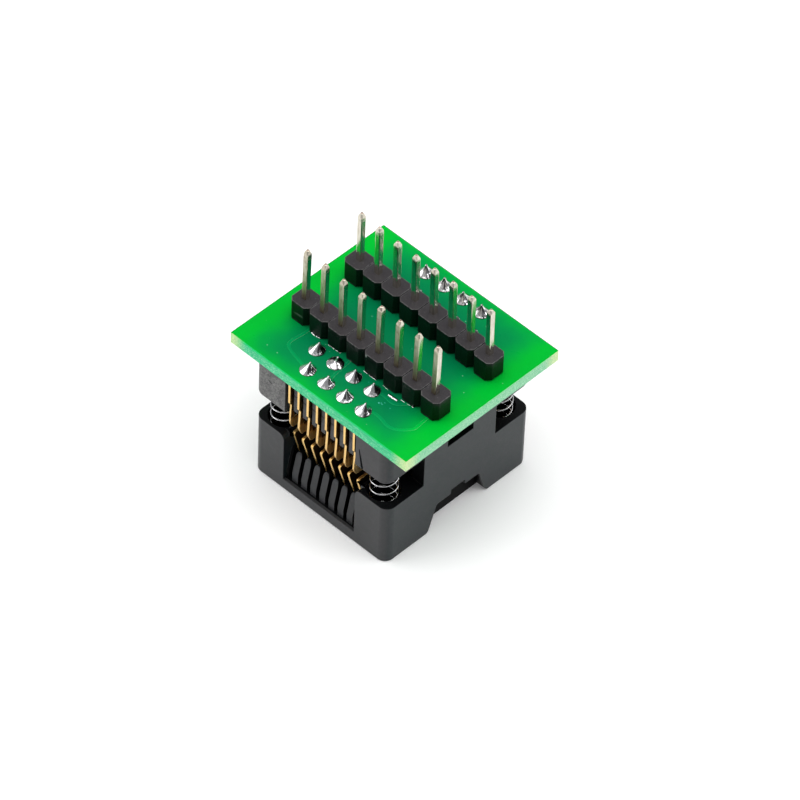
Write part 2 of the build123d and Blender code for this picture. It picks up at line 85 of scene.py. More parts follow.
# the tips' lean away from upright, near row then far row
PIN_LEAN = [
    (0.10, 0.06), (0.03, 0.05), (0.03, 0.02), (0.02, 0.02), (0.06, 0.03), (0.07, 0.03), (0.09, 0.04), (0.11, 0.05),
    (0.04, 0.0), (0.0, -0.04), (-0.02, -0.06), (-0.02, -0.08), (-0.03, -0.09), (-0.02, -0.12), (-0.03, -0.14), (-0.02, -0.13),
]
SPR_X, SPR_Y, SPR_R, WIRE_R = 6.9, 8.1, 1.415, 0.07
SPR_LOW, SPR_HIGH, SPR_TURNS, SPR_START = 1.79, 14.11, 10.5, 111.0


def contact_x(k):
    return -3.5 * CPITCH + k * CPITCH


def tail_y(side, k):
    outer = (k % 2 == 1) if side < 0 else (k % 2 == 0)
    return side * (TAIL_OUTER if outer else TAIL_INNER)


def pin_x(k):
    return PAT_X - 3.5 * PITCH + k * PITCH


# ------------------------------------------------------------------ materials
class Mat:
    """A principled material with short helpers for its node tree."""

    def __init__(self, name, **sockets):
        self.m = bpy.data.materials.new(name)
        self.m.use_nodes = True
        self.t = self.m.node_tree
        self.t.nodes.clear()
        out = self.t.nodes.new("ShaderNodeOutputMaterial")
        self.b = self.t.nodes.new("ShaderNodeBsdfPrincipled")
        self.t.links.new(self.b.outputs[0], out.inputs[0])
        tc = self.t.nodes.new("ShaderNodeTexCoord")
        mm = self.node("VectorMath", operation="SCALE")
        self.t.links.new(tc.outputs["Object"], mm.inputs[0])
        mm.inputs["Scale"].default_value = 1000.0
        self.p = mm.outputs[0]
        self.normal = tc.outputs["Normal"]
        for key, value in sockets.items():
            self.put(self.b, key.replace("_", " "), value)

    def node(self, kind, **props):
        n = self.t.nodes.new("ShaderNode" + kind)
        for key, value in props.items():
            setattr(n, key, value)
        return n

    def put(self, n, key, value):
        s = n.inputs[key]
        if isinstance(value, bpy.types.NodeSocket):
            self.t.links.new(value, s)
        elif isinstance(value, tuple) and s.type == "RGBA" and len(value) == 3:
            s.default_value = (*value, 1.0)
        else:
            s.default_value = value

    def set(self, key, value):
        self.put(self.b, key, value)

    def xyz(self, v=None):
        s = self.node("SeparateXYZ")
        self.put(s, 0, v if v is not None else self.p)
        return s.outputs[0], s.outputs[1], s.outputs[2]

    def vec(self, x, y, z):
        c = self.node("CombineXYZ")
        self.put(c, 0, x), self.put(c, 1, y), self.put(c, 2, z)
        return c.outputs[0]

    def scaled(self, v, s):
        n = self.node("VectorMath", operation="MULTIPLY")
        self.put(n, 0, v)
        n.inputs[1].default_value = s
        return n.outputs[0]

    def math(self, op, a, b=0.0, clamp=False):
        n = self.node("Math", operation=op, use_clamp=clamp)
        self.put(n, 0, a)
        self.put(n, 1, b)
        return n.outputs[0]

    def step(self, v, lo, hi, a=0.0, b=1.0):
        n = self.node("MapRange", interpolation_type="SMOOTHSTEP")
        self.put(n, "Value", v)
        for key, value in (("From Min", lo), ("From Max", hi), ("To Min", a), ("To Max", b)):
            self.put(n, key, value)
        return n.outputs[0]

    def mix(self, f, a, b, blend="MIX"):
        n = self.node("Mix", data_type="RGBA", blend_type=blend)
        self.put(n, 0, f)
        self.put(n, 6, a)
        self.put(n, 7, b)
        return n.outputs[2]

    def mixf(self, f, a, b):
        n = self.node("Mix", data_type="FLOAT")
        self.put(n, 0, f)
        self.put(n, 2, a)
        self.put(n, 3, b)
        return n.outputs[0]

    def noise(self, scale, detail=2.0, rough=0.5, v=None, dist=0.0):
        n = self.node("TexNoise")
        self.put(n, "Vector", v if v is not None else self.p)
        n.inputs["Scale"].default_value = scale
        n.inputs["Detail"].default_value = detail
        n.inputs["Roughness"].default_value = rough
        n.inputs["Distortion"].default_value = dist
        return n.outputs[0]

    def voronoi(self, scale, v=None, feature="F1", out="Distance"):
        n = self.node("TexVoronoi", feature=feature)
        self.put(n, "Vector", v if v is not None else self.p)
        n.inputs["Scale"].default_value = scale
        return n.outputs[out]

    def ramp(self, f, stops):
        n = self.node("ValToRGB")
        self.put(n, 0, f)
        e = n.color_ramp.elements
        while len(e) < len(stops):
            e.new(0.5)
        for i, (pos, col) in enumerate(stops):
            e[i].position = pos
            e[i].color = (*col, 1.0)
        return n.outputs[0]

    def bump(self, height, strength, distance_mm, normal=None):
        n = self.node("Bump")
        self.put(n, "Height", height)
        n.inputs["Strength"].default_value = strength
        n.inputs["Distance"].default_value = distance_mm * MM
        if normal is not None:
            self.put(n, "Normal", normal)
        return n.outputs[0]


# green solder mask over a translucent glass-epoxy board, with light and shade painted into its colour by position:
# painted bright where light comes through the overhang, painted teal and darker (painted shade) where the socket sits
# under it
def board_material(name, lift=1.0):
    m = Mat(name, Roughness=0.3, IOR=1.5)
    x, y, z = m.xyz()
    wob = m.math("MULTIPLY", m.math("SUBTRACT", m.noise(0.35, 2.0), 0.5), 1.6)
    ax = m.math("SUBTRACT", m.math("ABSOLUTE", x), 9.15)
    ay = m.math("SUBTRACT", m.math("ABSOLUTE", y), 10.25)
    d = m.math("SMOOTH_MAX", ax, ay)
    d.node.inputs[2].default_value = 1.2
    d = m.math("ADD", d, wob)
    f = m.step(d, -3.9, 1.9)
    glow = m.ramp(f, [
        (0.0, (0.0, 0.185 * lift, 0.066 * lift)),
        (0.42, (0.0, 0.250 * lift, 0.060 * lift)),
        (0.75, (0.0, 0.345 * lift, 0.046 * lift)),
        (1.0, (0.0, 0.465 * lift, 0.026 * lift)),
    ])
    mottle = m.noise(1.1, 3.0, 0.6)
    glow = m.mix(m.math("MULTIPLY", mottle, 0.16), glow, (0.0, 0.09, 0.035))
    weave = m.noise(3.4, 1.0, 0.4, m.scaled(m.p, (1.0, 1.0, 0.1)))
    glow = m.mix(m.math("MULTIPLY", weave, 0.08), glow, (0.0, 0.45, 0.10))
    # painted shade: a darker line where the far edges turn down
    rim = m.math("MAXIMUM", m.step(x, -11.96, -12.03), m.step(y, 10.60, 10.67))
    glow = m.mix(m.math("MULTIPLY", rim, 0.7), glow, (0.0, 0.085, 0.045))
    # pale dust specks
    cell = m.voronoi(0.9)
    pick = m.math("GREATER_THAN", m.noise(0.55, 1.0), 0.50)
    speck = m.math("MULTIPLY", m.step(cell, 0.045, 0.075, 1.0, 0.0), pick)
    top = m.mix(m.math("MULTIPLY", speck, 0.4), glow, (0.35, 0.75, 0.5))
    # the cut edges: pale layered glass fibre, creamier towards the corners
    fx = m.noise(5.5, 4.0, 0.65, m.scaled(m.p, (1.0, 1.0, 2.4)))
    fz = m.noise(2.6, 3.0, 0.6, m.scaled(m.p, (0.45, 0.45, 3.2)))
    edge = m.ramp(fx, [
        (0.30, (0.006, 0.33, 0.12)),
        (0.43, (0.05, 0.54, 0.25)),
        (0.55, (0.15, 0.64, 0.35)),
        (0.70, (0.52, 0.90, 0.60)),
    ])
    edge = m.mix(m.step(fz, 0.42, 0.62, 0.0, 0.65), edge, (0.025, 0.44, 0.18))
    # the mask shows along the upper rim of the cut
    lip = m.step(m.math("ADD", z, m.math("MULTIPLY", m.noise(3.0, 2.0), 0.3)), 17.34, 17.46)
    edge = m.mix(m.math("MULTIPLY", lip, 0.85), edge, (0.004, 0.62, 0.16))
    nx, ny, nz = m.xyz(m.normal)
    # painted light: the X-facing cut edges are painted paler
    is_x = m.math("GREATER_THAN", m.math("ABSOLUTE", nx), 0.7)
    edge = m.mix(m.math("MULTIPLY", is_x, 0.55), edge, m.ramp(fx, [(0.36, (0.26, 0.56, 0.35)), (0.62, (0.62, 0.80, 0.60))]))
    cx = m.math("SUBTRACT", 12.05, m.math("ABSOLUTE", x))
    cy = m.math("SUBTRACT", 10.7, m.math("ABSOLUTE", y))
    corner = m.step(m.math("ADD", cx, cy), 0.2, 2.2, 0.72, 0.0)
    corner = m.math("MULTIPLY", corner, m.step(fx, 0.34, 0.56, 0.45, 1.0))
    edge = m.mix(corner, edge, (0.80, 0.86, 0.42))
    vert = m.step(m.math("ABSOLUTE", nz), 0.5, 0.8, 1.0, 0.0)
    m.set("Base Color", m.mix(vert, top, edge))
    m.set("Roughness", m.mixf(vert, m.math("ADD", m.math("MULTIPLY", mottle, 0.1), 0.24), 0.6))
    m.b.inputs["Specular IOR Level"].default_value = 0.045
    rough_edge = m.math("MULTIPLY", m.noise(9.0, 3.0, 0.7), vert)
    m.set("Normal", m.bump(m.math("ADD", m.math("MULTIPLY", mottle, 0.25), rough_edge), 0.35, 0.06))
    return m.m


def strip_material():
    m = Mat("header_charcoal", IOR=1.5)
    grain = m.noise(14.0, 4.0, 0.6)
    patch = m.noise(1.4, 2.0)
    top = m.ramp(grain, [(0.32, (0.010, 0.0105, 0.0115)), (0.68, (0.038, 0.034, 0.039))])
    top = m.mix(m.math("MULTIPLY", patch, 0.4), top, (0.036, 0.029, 0.036))
    cell = m.voronoi(3.6)
    pick = m.math("GREATER_THAN", m.noise(2.1), 0.5)
    speck = m.math("MULTIPLY", m.step(cell, 0.07, 0.16, 1.0, 0.0), pick)
    top = m.mix(m.math("MULTIPLY", speck, 0.55), top, (0.19, 0.18, 0.19))
    x, y, z = m.xyz()
    near = m.step(y, 0.5, -0.5)
    u = m.math("SUBTRACT", x, m.mixf(near, PAT_X + STRIP_DX[1] - 11.5 * PITCH, PAT_X + STRIP_DX[-1] - 11.5 * PITCH))
    u = m.math("SUBTRACT", m.math("MODULO", m.math("ADD", u, PITCH / 2), PITCH), PITCH / 2)
    v = m.math("SUBTRACT", m.math("ABSOLUTE", y), m.mixf(near, ROW_HALF + STRIP_DY[1], ROW_HALF - STRIP_DY[-1]))
    au, av = m.math("ABSOLUTE", u), m.math("ABSOLUTE", v)
    oct_ = m.math("MULTIPLY", m.math("SUBTRACT", m.math("ADD", au, av), 1.248 + 1.25 - 0.45), 0.7071)
    rim = m.math("MAXIMUM", oct_, m.math("MAXIMUM", m.math("SUBTRACT", au, 1.248), m.math("SUBTRACT", av, 1.25)))
    broken = m.step(m.noise(2.2, 4.0, 0.75), 0.40, 0.60)
    line = m.math("MULTIPLY", m.step(rim, -0.11, -0.06), m.math("ADD", m.math("MULTIPLY", broken, 0.42), 0.02))
    top = m.mix(line, top, (0.20, 0.205, 0.20))
    # the rounded corners and edges are lighter, in broken lines
    nx, ny, nz = m.xyz(m.normal)
    rounded_edge_pale = m.math("MULTIPLY", m.step(nz, 0.15, 0.5), m.step(nz, 0.82, 0.985, 1.0, 0.0))
    rounded_edge_pale = m.math("MULTIPLY", rounded_edge_pale, m.step(m.noise(4.0, 3.0, 0.7), 0.48, 0.64))
    top = m.mix(m.math("MULTIPLY", rounded_edge_pale, 0.5), top, (0.16, 0.16, 0.155))
    side = m.mix(m.math("MULTIPLY", m.noise(2.6, 3.0), 0.5), (0.0006, 0.0022, 0.0022), (0.002, 0.0048, 0.0050))
    # painted highlights: two lighter oval patches on the near strip's front face
    front = m.step(ny, -0.7, -0.95)
    near = m.step(y, -4.9, -5.0)
    u = m.math("DIVIDE", m.math("ADD", x, 8.36), 0.86)
    v = m.math("DIVIDE", m.math("SUBTRACT", m.math("SUBTRACT", z, 18.62), m.math("MULTIPLY", m.math("ADD", x, 8.36), 0.12)), 0.20)
    painted_glint_a = m.step(m.math("ADD", m.math("MULTIPLY", u, u), m.math("MULTIPLY", v, v)), 0.25, 1.0, 1.0, 0.0)
    u2 = m.math("DIVIDE", m.math("SUBTRACT", x, 0.93), 0.20)
    v2 = m.math("DIVIDE", m.math("SUBTRACT", z, 19.86), 0.26)
    painted_glint_b = m.step(m.math("ADD", m.math("MULTIPLY", u2, u2), m.math("MULTIPLY", v2, v2)), 0.3, 1.0, 1.0, 0.0)
    painted_glints = m.math("MULTIPLY", m.math("MULTIPLY", m.math("MAXIMUM", m.math("MULTIPLY", painted_glint_a, 1.0), painted_glint_b), front), near)
    side = m.mix(painted_glints, side, (0.20, 0.21, 0.21))
    # painted light and shade: the upper faces take the lighter charcoal, the sides are painted near-black with a faint
    # teal tint, a painted reflection of the board
    lit = m.step(nz, 0.35, 0.75)
    m.set("Base Color", m.mix(lit, side, top))
    m.set("Roughness", m.mixf(lit, m.math("ADD", m.math("MULTIPLY", patch, 0.12), 0.40), 0.5))
    m.set("Specular IOR Level", m.mixf(lit, 0.20, 0.33))
    m.set("Normal", m.bump(m.math("MULTIPLY", m.math("ADD", grain, m.math("MULTIPLY", patch, 0.3)), m.mixf(lit, 0.12, 1.0)), 0.5, 0.035))
    return m.m


def plastic_material(name, dark, light, rough, grain_scale, grain_bump, left_post=False, deep=False):
    m = Mat(name, IOR=1.5)
    x, y, z = m.xyz()
    grain = m.noise(grain_scale, 3.0, 0.65)
    flow = m.noise(0.5, 3.0, 0.55, m.scaled(m.p, (1.0, 1.0, 1.6)), 0.6)
    col = m.ramp(grain, [(0.36, dark), (0.64, light)])
    col = m.mix(m.math("MULTIPLY", flow, 0.35), col, (light[0] * 0.7, light[1] * 0.85, light[2]))
    r = m.math("ADD", m.math("MULTIPLY", flow, 0.14), rough)
    h = grain
    if left_post:
        # this corner of the tool was spark-eroded: paler, with a coarser speckle
        near = m.math("MULTIPLY", m.step(x, -4.7, -4.95), m.step(y, -9.6, -10.0))
        sp = m.noise(7.0, 4.0, 0.7)
        pale = m.ramp(sp, [(0.33, (0.055, 0.056, 0.055)), (0.5, (0.135, 0.135, 0.131)), (0.7, (0.235, 0.232, 0.228))])
        col = m.mix(near, col, pale)
        r = m.mixf(near, r, 0.62)
        h = m.mixf(near, grain, m.math("MULTIPLY", sp, 1.8))
        # a small nick in that post
        u = m.math("DIVIDE", m.math("ADD", m.math("ADD", x, 6.95), m.math("MULTIPLY", z, 0.0)), 0.34)
        v = m.math("DIVIDE", m.math("ADD", m.math("SUBTRACT", z, 13.95), m.math("MULTIPLY", m.math("ADD", x, 6.95), 0.45)), 0.11)
        nick = m.step(m.math("ADD", m.math("MULTIPLY", u, u), m.math("MULTIPLY", v, v)), 0.4, 1.0, 1.0, 0.0)
        nick = m.math("MULTIPLY", nick, near)
        col = m.mix(nick, col, (0.004, 0.004, 0.004))
        h = m.math("SUBTRACT", h, m.math("MULTIPLY", nick, 2.0))
    nx, ny, nz = m.xyz(m.normal)
    # painted shade: the +X flanks are painted a little cooler and darker
    xflank_shade = m.step(nx, 0.6, 0.9)
    col = m.mix(m.math("MULTIPLY", xflank_shade, 0.75), col, m.mix(flow, (0.004, 0.009, 0.011), (0.010, 0.018, 0.020)))
    cloud = m.noise(1.9, 4.0, 0.72)
    col = m.mix(m.math("MULTIPLY", m.step(cloud, 0.42, 0.66), 0.55), col, (light[0] * 1.35, light[1] * 1.2, light[2] * 1.3))
    col = m.mix(m.math("MULTIPLY", m.step(m.noise(2.7, 4.0, 0.7), 0.50, 0.72), m.mixf(xflank_shade, 0.15, 0.75)), col, (0.0030, 0.012, 0.012))
    col = m.mix(m.math("MULTIPLY", m.step(m.noise(6.5, 4.0, 0.75), 0.50, 0.66), m.mixf(xflank_shade, 0.10, 0.42)), col, (0.026, 0.036, 0.040))
    spec = m.mixf(xflank_shade, 0.44, 0.33)
    if deep:
        ax, ay = m.math("ABSOLUTE", x), m.math("ABSOLUTE", y)
        inside = m.math("MULTIPLY", m.step(ax, 4.90, 4.97, 1.0, 0.0), m.step(z, 1.30, 1.36))
        # painted shade: in the window everything but the fingers' faces is painted near-black
        face = m.math("MULTIPLY", m.step(m.math("ABSOLUTE", ny), 0.55, 0.8), m.step(m.math("ABSOLUTE", nx), 0.25, 0.5, 1.0, 0.0))
        face = m.math("MULTIPLY", face, m.step(ay, 8.85, 8.95))
        face = m.math("MULTIPLY", face, m.step(x, -4.62, -4.58))
        ledge = m.math("MULTIPLY", m.step(ay, 9.80, 9.86), m.step(nz, 0.3, 0.6))
        dark = m.math("MULTIPLY", inside, m.math("SUBTRACT", 1.0, m.math("MAXIMUM", face, ledge), True))
        # painted light: the ledge's upper face, low in the window, is painted lighter
        ledge_on = m.math("MULTIPLY", m.math("MULTIPLY", ledge, m.step(z, 1.0, 1.2)), m.step(z, 1.5, 1.4))
        col = m.mix(m.math("MULTIPLY", ledge_on, 0.8), col, (0.036, 0.036, 0.037))
        # painted shade: the upper face, the spring pockets and the tabs' ends, under the board, are painted near-black
        under = m.math("MULTIPLY", m.step(nz, 0.5, 0.85), m.step(z, 7.3, 7.6))
        tab_end = m.math("MULTIPLY", m.step(z, 7.66, 7.72), m.step(nx, 0.6, 0.9, 1.0, 0.0))
        dark = m.math("MAXIMUM", dark, m.math("MAXIMUM", m.math("MULTIPLY", under, 0.8), m.math("MULTIPLY", tab_end, 0.9)))
        px = m.math("SUBTRACT", ax, 6.9)
        py = m.math("SUBTRACT", ay, 8.1)
        rr = m.math("ADD", m.math("MULTIPLY", px, px), m.math("MULTIPLY", py, py))
        pocket = m.math("MULTIPLY", m.step(rr, 3.0, 3.1, 1.0, 0.0), m.step(z, 1.6, 1.66))
        dark = m.math("MAXIMUM", dark, pocket)
        # painted shade: the walls of the finger notches and the chip opening are painted near-black
        well = m.math("MULTIPLY", m.step(ax, 9.0, 9.06, 1.0, 0.0), m.math("MULTIPLY", m.step(ay, 4.62, 4.55), m.step(z, 3.44, 3.40)))
        dark = m.math("MAXIMUM", dark, well)
        col = m.mix(dark, col, (0.0012, 0.0014, 0.0016))
        spec = m.mixf(dark, spec, 0.04)
    else:
        # painted shade: behind the bay faces and inside the recesses the colour is painted near-black too
        ax, ay = m.math("ABSOLUTE", x), m.math("ABSOLUTE", y)
        bay = m.math("MULTIPLY", m.step(ax, 4.84, 4.80), m.step(ay, 9.74, 9.70))
        rec = m.math("MULTIPLY", m.step(ay, 5.24, 5.18), m.step(ax, 9.1, 9.04))
        rec = m.math("MAXIMUM", rec, m.math("MULTIPLY", m.step(ay, 5.26, 5.22), m.step(z, 15.8, 15.7)))
        dark = m.math("MAXIMUM", bay, m.math("MULTIPLY", rec, 0.8))
        col = m.mix(dark, col, (0.0015, 0.0015, 0.0017))
        spec = m.mixf(dark, spec, 0.05)
    m.set("Base Color", col)
    m.set("Roughness", r)
    m.set("Specular IOR Level", spec)
    m.set("Normal", m.bump(h, grain_bump, 0.03))
    return m.m


def pin_material():
    m = Mat("pin_tin", Metallic=1.0)
    x, y, z = m.xyz()
    nx, ny, nz = m.xyz(m.normal)
    streak = m.noise(9.0, 3.0, 0.6, m.scaled(m.p, (1.0, 1.0, 0.07)))
    blot = m.noise(1.7, 3.0, 0.6)
    col = m.ramp(streak, [(0.3, (0.54, 0.50, 0.41)), (0.7, (0.78, 0.745, 0.655))])
    col = m.mix(m.math("MULTIPLY", m.step(blot, 0.45, 0.8), 0.45), col, (0.60, 0.50, 0.34))
    # the outer faces of the near row are matt from the drawing die, the others bright; those matt faces are also
    # painted darker towards the bottom, a painted shade
    matt = m.math("MULTIPLY", m.step(ny, -0.55, -0.85), m.step(y, 0.5, -0.5))
    low = m.math("MULTIPLY", matt, m.step(z, 25.2, 20.5, 0.45, 1.0))
    col = m.mix(m.math("MULTIPLY", low, 0.86), col, (0.25, 0.215, 0.12))
    band = m.noise(2.6, 3.0, 0.7, m.scaled(m.p, (1.0, 1.0, 0.5)))
    col = m.mix(m.math("MULTIPLY", m.step(band, 0.48, 0.66), m.mixf(matt, 0.12, 0.5)), col, (0.20, 0.15, 0.085))
    # the sheared end shows the brass core
    cut = m.math("MULTIPLY", m.step(nz, 0.93, 0.99), m.step(z, 25.6, 25.9))
    col = m.mix(m.math("MULTIPLY", cut, 0.7), col, (0.62, 0.38, 0.28))
    m.set("Base Color", col)
    tip = m.step(z, 25.2, 25.7)
    r = m.mixf(tip, m.mixf(matt, 0.10, 0.34), 0.24)
    m.set("Roughness", m.math("ADD", m.math("MULTIPLY", streak, 0.10), r))
    m.set("Normal", m.bump(streak, 0.10, 0.010))
    return m.m


def gold_material():
    m = Mat("contact_gold", Metallic=1.0)
    nx, ny, nz = m.xyz(m.normal)
    x, y, z = m.xyz()
    # painted light and shade: the blades' flat faces are painted dark brown, their edges bright gold
    flat = m.step(m.math("ABSOLUTE", nx), 0.7, 0.97)
    blot = m.noise(1.6, 3.0, 0.6)
    fine = m.noise(11.0, 3.0, 0.6)
    face = m.ramp(blot, [(0.3, (0.20, 0.10, 0.030)), (0.7, (0.42, 0.24, 0.075))])
    # painted shade: the arms' faces are painted browner than the stems'
    face = m.mix(m.step(z, 8.4, 7.6, 0.0, 0.75), face, (0.10, 0.055, 0.025))
    # painted highlight: the beams behind are painted bright brownish gold
    beam = m.math("MULTIPLY", m.step(z, 8.5, 9.0), m.step(z, 10.7, 10.3))
    face = m.mix(m.math("MULTIPLY", beam, 0.92), face, (1.0, 0.70, 0.30))
    edge = m.ramp(fine, [(0.3, (0.76, 0.45, 0.13)), (0.7, (0.97, 0.69, 0.29))])
    m.set("Base Color", m.mix(flat, edge, face))
    m.set("Roughness", m.mixf(flat, m.math("ADD", m.math("MULTIPLY", fine, 0.15), 0.24), 0.36))
    m.set("Normal", m.bump(fine, 0.2, 0.015))
    return m.m


def wire_material():
    m = Mat("spring_wire", Metallic=1.0)
    fine = m.noise(8.0, 2.0, 0.5)
    m.set("Base Color", m.ramp(fine, [(0.3, (0.50, 0.50, 0.51)), (0.7, (0.74, 0.74, 0.75))]))
    m.set("Roughness", m.math("ADD", m.math("MULTIPLY", fine, 0.12), 0.14))
    return m.m


def solder_material(name, shaded_flank):
    m = Mat(name, Metallic=1.0)
    blot = m.noise(2.2, 3.0, 0.6)
    fine = m.noise(12.0, 3.0, 0.6)
    nx, ny, nz = m.xyz(m.normal)
    x, y, z = m.xyz()
    col = m.ramp(blot, [(0.3, (0.74, 0.73, 0.74)), (0.7, (0.95, 0.94, 0.95))])
    if shaded_flank:
        # painted shade: the flank turned towards the camera's right is painted grey, near-black at its middle, with
        # painted highlights bright again on its lower ridges
        side = m.math("ADD", m.math("MULTIPLY", nx, 0.735), m.math("MULTIPLY", ny, 0.678))
        side = m.math("ADD", side, m.math("MULTIPLY", m.math("SUBTRACT", m.noise(3.1, 2.0), 0.5), 0.45))
        painted_grey_flank = m.math("MULTIPLY", m.step(side, -0.45, -0.05), m.step(side, 0.9, 0.7))
        painted_dark_flank = m.math("MULTIPLY", m.step(side, 0.0, 0.22), m.step(side, 0.78, 0.55))
        ridge_highlight = m.math("MULTIPLY", m.step(m.noise(4.2, 2.0, 0.6), 0.50, 0.58), m.step(z, 17.98, 17.80))
        painted_dark_flank = m.math("MULTIPLY", painted_dark_flank, m.math("SUBTRACT", 1.0, ridge_highlight))
        col = m.mix(m.math("MULTIPLY", painted_grey_flank, 0.62), col, (0.30, 0.30, 0.31))
        col = m.mix(m.math("MULTIPLY", ridge_highlight, painted_grey_flank), col, (0.93, 0.92, 0.93))
        col = m.mix(m.math("MULTIPLY", painted_dark_flank, 0.93), col, (0.035, 0.035, 0.038))
    m.set("Base Color", col)
    m.set("Roughness", m.math("ADD", m.math("MULTIPLY", blot, 0.16), 0.13))
    m.set("Normal", m.bump(m.math("ADD", blot, m.math("MULTIPLY", fine, 0.25)), 0.25, 0.05))
    return m.m


def flux_material():
    m = Mat("flux_drop", Roughness=0.12, IOR=1.5)
    blot = m.noise(6.0, 3.0, 0.6)
    m.set("Base Color", m.ramp(blot, [(0.35, (0.0, 0.30, 0.17)), (0.65, (0.08, 0.62, 0.48))]))
    m.set("Normal", m.bump(blot, 0.4, 0.03))
    return m.m


M_BOARD = board_material("board_mask")
M_TRACE = board_material("board_trace", 1.22)
M_STRIP = strip_material()
M_COVER = plastic_material("cover_black", (0.006, 0.0065, 0.0075), (0.014, 0.015, 0.017), 0.30, 11.0, 0.22, deep=True)
M_BASE = plastic_material("base_black", (0.008, 0.008, 0.009), (0.019, 0.018, 0.020), 0.36, 9.0, 0.3, True)
M_PIN = pin_material()
M_GOLD = gold_material()
M_WIRE = wire_material()
M_SOLDER = solder_material("solder", True)
M_CREEP = solder_material("solder_bright", False)
M_FLUX = flux_material()


def dress(o, mat):
    o.data.materials.clear()
    o.data.materials.append(mat)


for name, o in NODES.items():
    if name == "adapter_pcb":
        dress(o, M_BOARD)
    elif name.startswith("header_strip"):
        dress(o, M_STRIP)
    elif name.startswith("header_pin"):
        dress(o, M_PIN)
    elif name == "socket_base":
        dress(o, M_BASE)
    elif name == "cover":
        dress(o, M_COVER)
    elif name.startswith("contact"):
        dress(o, M_GOLD)
    elif name.startswith("spring"):
        dress(o, M_WIRE)
    else:
        dress(o, M_SOLDER)


# --------------------------------------------------------------- mesh helpers
def new_piece(name, bm, mat, body, replaces=(), smooth=True):
    """Makes a piece from a bmesh in millimetres, and hangs it on its body."""
    bmesh.ops.scale(bm, vec=(MM, MM, MM), verts=bm.verts)
    bmesh.ops.recalc_face_normals(bm, faces=bm.faces)
    me = bpy.data.meshes.new(name)
    bm.to_mesh(me)
    bm.free()
    o = bpy.data.objects.new(name, me)
    scene.collection.objects.link(o)
    me.materials.append(mat)
    if smooth:
        me.shade_smooth()
    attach(o, body)
    if replaces:
        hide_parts(*replaces)
    return o


def refined(node, width, mat, segments=2, angle=32.0, tweak=None):
    """A copy of a part with its sharp edges rounded over by width (mm)."""
    src = NODES[node]
    bm = bmesh.new()
    bm.from_mesh(src.data)
    bmesh.ops.scale(bm, vec=(1000.0, 1000.0, 1000.0), verts=bm.verts)
    bmesh.ops.remove_doubles(bm, verts=bm.verts, dist=0.0008)
    bmesh.ops.dissolve_limit(bm, angle_limit=math.radians(1.0), verts=bm.verts, edges=bm.edges)
    edges = [e for e in bm.edges if len(e.link_faces) == 2 and e.calc_face_angle(0.0) > math.radians(angle)]
    bmesh.ops.bevel(
        bm, geom=edges, offset=width, offset_type="OFFSET", segments=segments, profile=0.6,
        affect="EDGES", clamp_overlap=False, loop_slide=True,
    )
    if tweak is not None:
        tweak(bm)
    o = new_piece(node + "_look", bm, mat, src["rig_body"], (node,))
    wn = o.modifiers.new("even_normals", "WEIGHTED_NORMAL")
    wn.weight = 80
    return o


def skin(bm, rings):
    """Joins rings of points into one closed solid."""
    loops = [[bm.verts.new(p) for p in ring] for ring in rings]
    n = len(loops[0])
    for a, b in zip(loops, loops[1:]):
        for i in range(n):
            j = (i + 1) % n
            bm.faces.new((a[i], a[j], b[j], b[i]))
    bm.faces.new(loops[0][::-1])
    bm.faces.new(loops[-1])


def blade_tails_off(bm):
    # the tails' upper ends are inside the solder joints, which are drawn whole
    for v in bm.verts:
        if v.co.z > 17.6:
            v.co.z = 17.5 + (v.co.z - 17.6) * 0.05
        # the end blades are thinned at their lower outer corner, clear of the cover's lip
        if abs(v.co.x) > 4.5 and abs(v.co.y) > 9.2 and v.co.z < 10.9:
            v.co.x = math.copysign(abs(v.co.x) - 0.11, v.co.x)


# ------------------------------------------------------------------- contacts
for i in range(1, 17):
    refined("contact_frame_%02d" % i, 0.022, M_GOLD, 2, 30.0, blade_tails_off)
    refined("contact_arm_%02d" % i, 0.02, M_GOLD, 2, 30.0)

# -------------------------------------------------------------------- springs
for name, sx, sy in (
    ("spring_front", 1, -1), ("spring_left", -1, -1), ("spring_right", 1, 1), ("spring_back", -1, 1),
):
    bm = bmesh.new()
    steps, around = int(SPR_TURNS * 48), 12
    rings = []
    for i in range(steps + 1):
        t = i / steps
        a = math.radians(SPR_START) + 2 * math.pi * SPR_TURNS * t
        out = Vector((math.cos(a), math.sin(a), 0.0))
        along = Vector((-math.sin(a), math.cos(a), (SPR_HIGH - SPR_LOW) / (SPR_TURNS * 2 * math.pi * SPR_R))).normalized()
        side = along.cross(out)
        c = Vector((sx * SPR_X, sy * SPR_Y, SPR_LOW + (SPR_HIGH - SPR_LOW) * t)) + out * SPR_R
        rings.append([
            c + (out * math.cos(q) + side * math.sin(q)) * WIRE_R
            for q in (2 * math.pi * j / around for j in range(around))
        ])
    skin(bm, rings)
    o = new_piece(name + "_look", bm, M_WIRE, "base", (name,))
    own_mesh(o)


# --------------------------------------------------------------- header pins
def pin_ring(half, r, cx, cy, z):
    pts = []
    for qx, qy, a0 in ((1, 1, 0), (-1, 1, 90), (-1, -1, 180), (1, -1, 270)):
        for i in range(5):
            a = math.radians(a0 + i * 22.5)
            pts.append(Vector((cx + qx * (half - r) + r * math.cos(a), cy + qy * (half - r) + r * math.sin(a), z)))
    return pts


